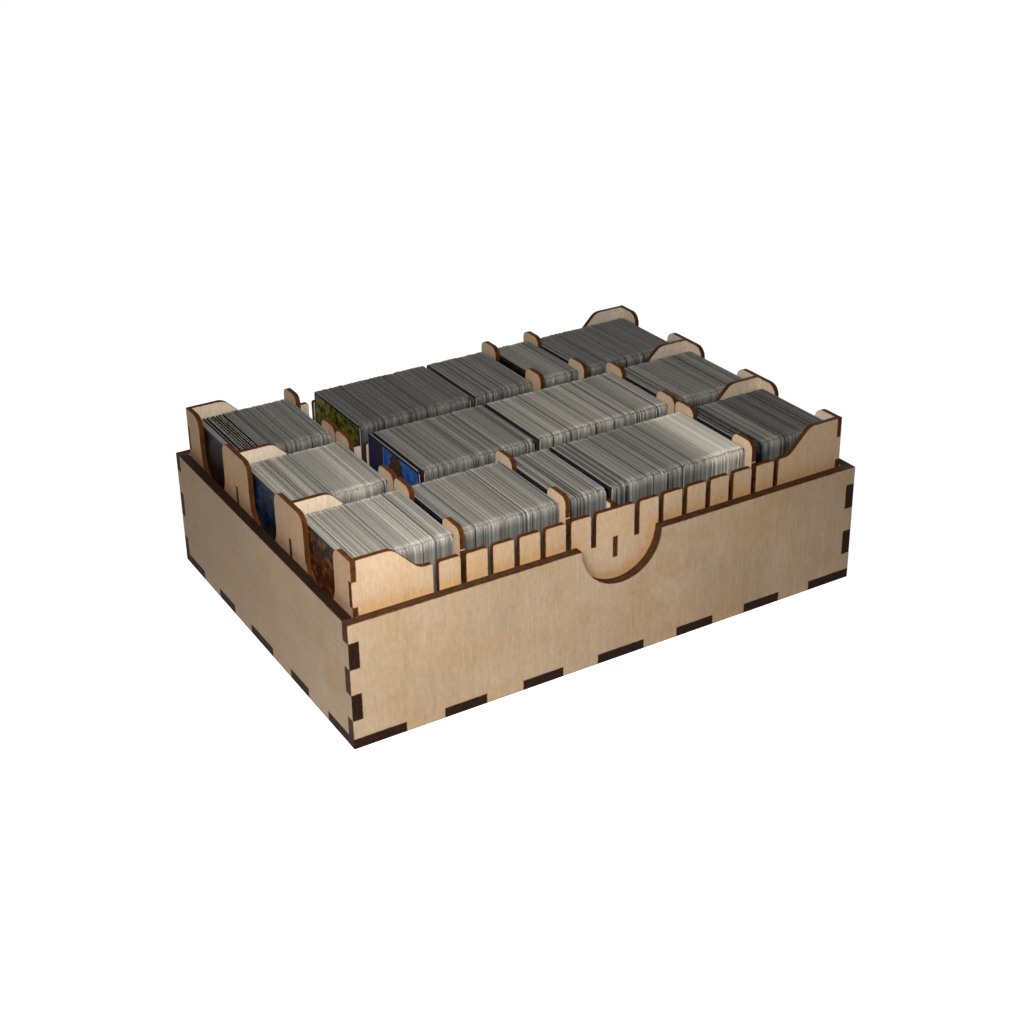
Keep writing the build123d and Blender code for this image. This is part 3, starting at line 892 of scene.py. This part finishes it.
for stack_number, (node, runs) in enumerate(stack_runs.items()):
    low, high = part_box(node)
    stack = bpy.data.objects.new(node + "_sleeves", bpy.data.meshes.new(node))
    scene.collection.objects.link(stack)
    for number, (start, end, pitch, pale, spread, lines) in enumerate(runs):
        values = {
            "From": low[0] + start * mm,
            "To": high[0] - end_card_thickness if end is to_end else low[0] + end * mm,
            "Row": (low[1] + high[1]) / 2,
            "Foot": low[2] + slack["height"],
            "Pitch": pitch * mm,
            "Width": high[1] - low[1] - 2 * slack["width"],
            "Height": high[2] - low[2] - slack["height"],
            "Tone": pale,
            "Spread": spread,
            "Lines": lines,
            "Loose": 1.0 if pitch > loose_from else 0.0,
            "Seed": stack_number * seeds_per_stack + number,
            "Film": film_material,
            "Card": card_material,
        }
        add_modifier(stack, run_tree, values)
    made_plain(stack)
    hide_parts(node)
    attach(stack, node)


# The first and the last card of each stack
# Printed cards in their sleeves, whose face shows in the tray's windows and in the free spaces
# of the rows. The pictures are plain colour studies, and the backs are a lattice. One stack
# also shows its second card.
picture_colours = {
    "ember": {
        "low": (0.105, 0.028, 0.008, 1),
        "high": (0.012, 0.007, 0.007, 1),
        "blotch": (0.60, 0.20, 0.040, 1),
        "fade": (0.66, 0.92),
        "covered": (0.48, 0.84),
    },
    "tide": {
        "low": (0.085, 0.068, 0.045, 1),
        "high": (0.003, 0.007, 0.018, 1),
        "blotch": (0.03, 0.13, 0.34, 1),
        "fade": (0.60, 0.74),
        "covered": (0.49, 0.86),
    },
    "dusk": {
        "low": (0.050, 0.024, 0.016, 1),
        "high": (0.005, 0.004, 0.006, 1),
        "blotch": (0.10, 0.042, 0.026, 1),
        "fade": (0.60, 0.95),
        "covered": (0.48, 0.84),
    },
    "meadow": {
        "low": (0.05, 0.055, 0.015, 1),
        "high": (0.035, 0.018, 0.010, 1),
        "blotch": (0.36, 0.37, 0.045, 1),
        "fade": (0.70, 1.0),
        "covered": (0.40, 0.66),
    },
    "lagoon": {
        "low": (0.05, 0.04, 0.09, 1),
        "high": (0.028, 0.11, 0.46, 1),
        "blotch": (0.12, 0.30, 0.68, 1),
        "fade": (0.70, 0.84),
        "covered": (0.44, 0.74),
        "with_medal": True,
    },
    "garnet": {
        "low": (0.05, 0.008, 0.008, 1),
        "high": (0.13, 0.014, 0.012, 1),
        "blotch": (0.03, 0.006, 0.006, 1),
        "fade": (0.60, 0.95),
        "covered": (0.50, 0.62),
    },
    "moss": {
        "low": (0.040, 0.036, 0.015, 1),
        "high": (0.055, 0.050, 0.020, 1),
        "blotch": (0.090, 0.085, 0.025, 1),
        "fade": (0.60, 0.95),
        "covered": (0.50, 0.62),
    },
    "mist": {
        "low": (0.10, 0.095, 0.085, 1),
        "high": (0.17, 0.16, 0.145, 1),
        "blotch": (0.12, 0.11, 0.10, 1),
        "fade": (0.60, 0.95),
        "covered": (0.50, 0.62),
    },
}
picture_drift = {"grains": 60, "noise": (4.0, 0.6), "sway": 9.0}
picture_blotches = {"grains": (150, 140, 170), "noise": (6.0, 0.68)}
picture_grain = {"grains": 900, "noise": (3.0, 0.7), "span": (0.35, 0.65), "tones": (0.55, 1.5)}

# The medal, the panel, the lattice and the borders are measured in mm, but the width of a ring
# or of a lattice line is a share of its pitch
medal = {
    "across": 29.0,
    "up": 82.0,
    "reach": (8.0, 8.6),
    "petals": 9,
    "petal_depth": 0.9,
    "ring_pitch": 2.4,
    "ring_width": (0.16, 0.08),
    "outer_ring": (7.8, 7.4),
    "ground": (0.045, 0.028, 0.018, 1),
    "line": (0.26, 0.15, 0.05, 1),
}
panel = {
    "edge": (45.5, 45.7),
    "line_width": (0.5, 0.3),
    "ground": (0.030, 0.028, 0.085, 1),
    "line": (0.25, 0.24, 0.33, 1),
}
lattice = {
    "pitch": 5.0,
    "line_width": (0.05, 0.09),
    "ground": (0.035, 0.045, 0.085, 1),
    "line": (0.11, 0.12, 0.17, 1),
}
thin_line = (0.10, 0.085, 0.07, 1)
dark_frame = (0.012, 0.010, 0.012, 1)
clear_border = (0.05, 0.045, 0.06, 1)
sleeve_rim = (0.34, 0.36, 0.37, 1)
borders = [
    ((2.0, 2.2), thin_line),
    ((1.8, 1.9), dark_frame),
    ((0.9, 1.1), clear_border),
    ((0.25, 0.45), sleeve_rim),
]
second_card_place = 3.3 * mm


def framed(tree, colour, across, up):
    """The print with a thin line, a dark frame, and the clear border of the sleeve round it."""
    off_side, off_end = from_edges(tree, across, up)
    off_edge = arithmetic(tree, "MINIMUM", off_side, off_end)
    for span, border in borders:
        colour = mix_colours(tree, between(tree, off_edge, *span), border, colour)
    return colour


def finish_print(tree, colour):
    """Ink under the sleeve's film."""
    skin = {"Base Color": colour, "Roughness": 0.38, "Specular IOR Level": 0.02}
    ink = add_node(tree, "ShaderNodeBsdfPrincipled", skin)
    add_node(tree, "ShaderNodeOutputMaterial", {"Surface": ink})


def medal_and_panel(tree, colour, across, up):
    """A petalled medal on the picture, and a plain dark panel beside it behind a thin line."""
    beside = arithmetic(tree, "SUBTRACT", across, medal["across"])
    above = arithmetic(tree, "SUBTRACT", up, medal["up"])
    reach = arithmetic(tree, "POWER", beside, 2.0)
    reach = arithmetic(tree, "ADD", reach, arithmetic(tree, "POWER", above, 2.0))
    reach = arithmetic(tree, "SQRT", reach)
    angle = arithmetic(tree, "ARCTAN2", above, beside)
    petal = arithmetic(tree, "SINE", arithmetic(tree, "MULTIPLY", angle, medal["petals"]))
    petal = arithmetic(tree, "MULTIPLY", petal, medal["petal_depth"])
    reach = arithmetic(tree, "ADD", reach, petal)
    colour = mix_colours(tree, between(tree, reach, *medal["reach"]), medal["ground"], colour)
    ring = arithmetic(tree, "MULTIPLY", reach, 1 / medal["ring_pitch"])
    ring = arithmetic(tree, "SUBTRACT", arithmetic(tree, "FRACT", ring), 0.5)
    ring = between(tree, arithmetic(tree, "ABSOLUTE", ring), *medal["ring_width"])
    ring = arithmetic(tree, "MULTIPLY", ring, between(tree, reach, *medal["outer_ring"]))
    colour = mix_colours(tree, ring, colour, medal["line"])
    colour = mix_colours(tree, between(tree, across, *panel["edge"]), colour, panel["ground"])
    off_line = arithmetic(tree, "SUBTRACT", across, panel["edge"][0])
    off_line = arithmetic(tree, "ABSOLUTE", off_line)
    return mix_colours(tree, between(tree, off_line, *panel["line_width"]), colour, panel["line"])


def picture_print(name, low, high, blotch, fade, covered, with_medal=False):
    """A made-up picture: one colour fading into another, with soft blotches and fine grain."""
    material, tree = start_material(name)
    across, up = spot_on_plate(tree)
    place = output_of(add_node(tree, "ShaderNodeTexCoord"), "Object")
    drift = even_noise(tree, place, picture_drift)
    drift = between(tree, drift, *usual_span, -picture_drift["sway"], picture_drift["sway"])
    start, end = (share * sleeve_height / mm for share in fade)
    level = between(tree, arithmetic(tree, "ADD", up, drift), start, end)
    colour = mix_colours(tree, level, low, high)
    blotches = stretched_noise(
        tree, place, picture_blotches["grains"], *picture_blotches["noise"]
    )
    colour = mix_colours(tree, between(tree, blotches, *covered), colour, blotch)
    grain = even_noise(tree, place, picture_grain)
    grain = between(tree, grain, *picture_grain["span"], *picture_grain["tones"])
    colour = mix_colours(tree, 1.0, colour, grain, "MULTIPLY")
    if with_medal:
        colour = medal_and_panel(tree, colour, across, up)
    finish_print(tree, framed(tree, colour, across, up))
    return material


def lattice_print(name):
    """The back of a card: crossing slanted lines in a frame."""
    material, tree = start_material(name)
    across, up = spot_on_plate(tree)
    bars = []
    for slant in ("ADD", "SUBTRACT"):
        bar = arithmetic(tree, slant, across, up)
        bar = arithmetic(tree, "FRACT", arithmetic(tree, "MULTIPLY", bar, 1 / lattice["pitch"]))
        bars.append(arithmetic(tree, "ABSOLUTE", arithmetic(tree, "SUBTRACT", bar, 0.5)))
    off_bar = between(tree, arithmetic(tree, "MINIMUM", *bars), *lattice["line_width"])
    colour = mix_colours(tree, off_bar, lattice["line"], lattice["ground"])
    finish_print(tree, framed(tree, colour, across, up))
    return material


pictures = {}
for name, look in picture_colours.items():
    pictures[name] = picture_print(name + " picture", **look)
card_back = lattice_print("card back")

# One printed card in its sleeve, at its place in the stack
card_tree, end_card = start_tree(
    "end card", ["At", "Row", "Foot", "Width", "Height"], (), ["Print"]
)
card = plate_node(
    card_tree, end_card["Width"], end_card["Height"], sleeve_corner, end_card_thickness
)
place = xyz(card_tree, end_card["At"], end_card["Row"], end_card["Foot"])
dressed = {"Geometry": moved(card_tree, card, place), "Material": end_card["Print"]}
end_tree(card_tree, add_node(card_tree, "GeometryNodeSetMaterial", dressed))

# The picture on the first card of a stack, which is dusk where none is named
first_pictures = {
    "cards_front_1": "ember",
    "cards_middle_1": "tide",
    "cards_middle_2": "lagoon",
    "cards_middle_3": "moss",
    "cards_middle_4": "ember",
    "cards_back_2": "meadow",
    "cards_back_3": "mist",
    "cards_back_5": "mist",
}
for node in stack_runs:
    low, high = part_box(node)
    sides = {"first": (low[0], pictures[first_pictures.get(node, "dusk")])}
    sides["last"] = (high[0] - end_card_thickness, card_back)
    if node == "cards_middle_2":
        sides["second"] = (low[0] + second_card_place, pictures["garnet"])
    for which, (at, material) in sides.items():
        card = bpy.data.objects.new(node + "_" + which, bpy.data.meshes.new(node + "_" + which))
        scene.collection.objects.link(card)
        values = {
            "At": at,
            "Row": (low[1] + high[1]) / 2,
            "Foot": low[2] + slack["height"] / 2,
            "Width": sleeve_width,
            "Height": sleeve_height,
            "Print": material,
        }
        add_modifier(card, card_tree, values)
        made_plain(card)
        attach(card, node)
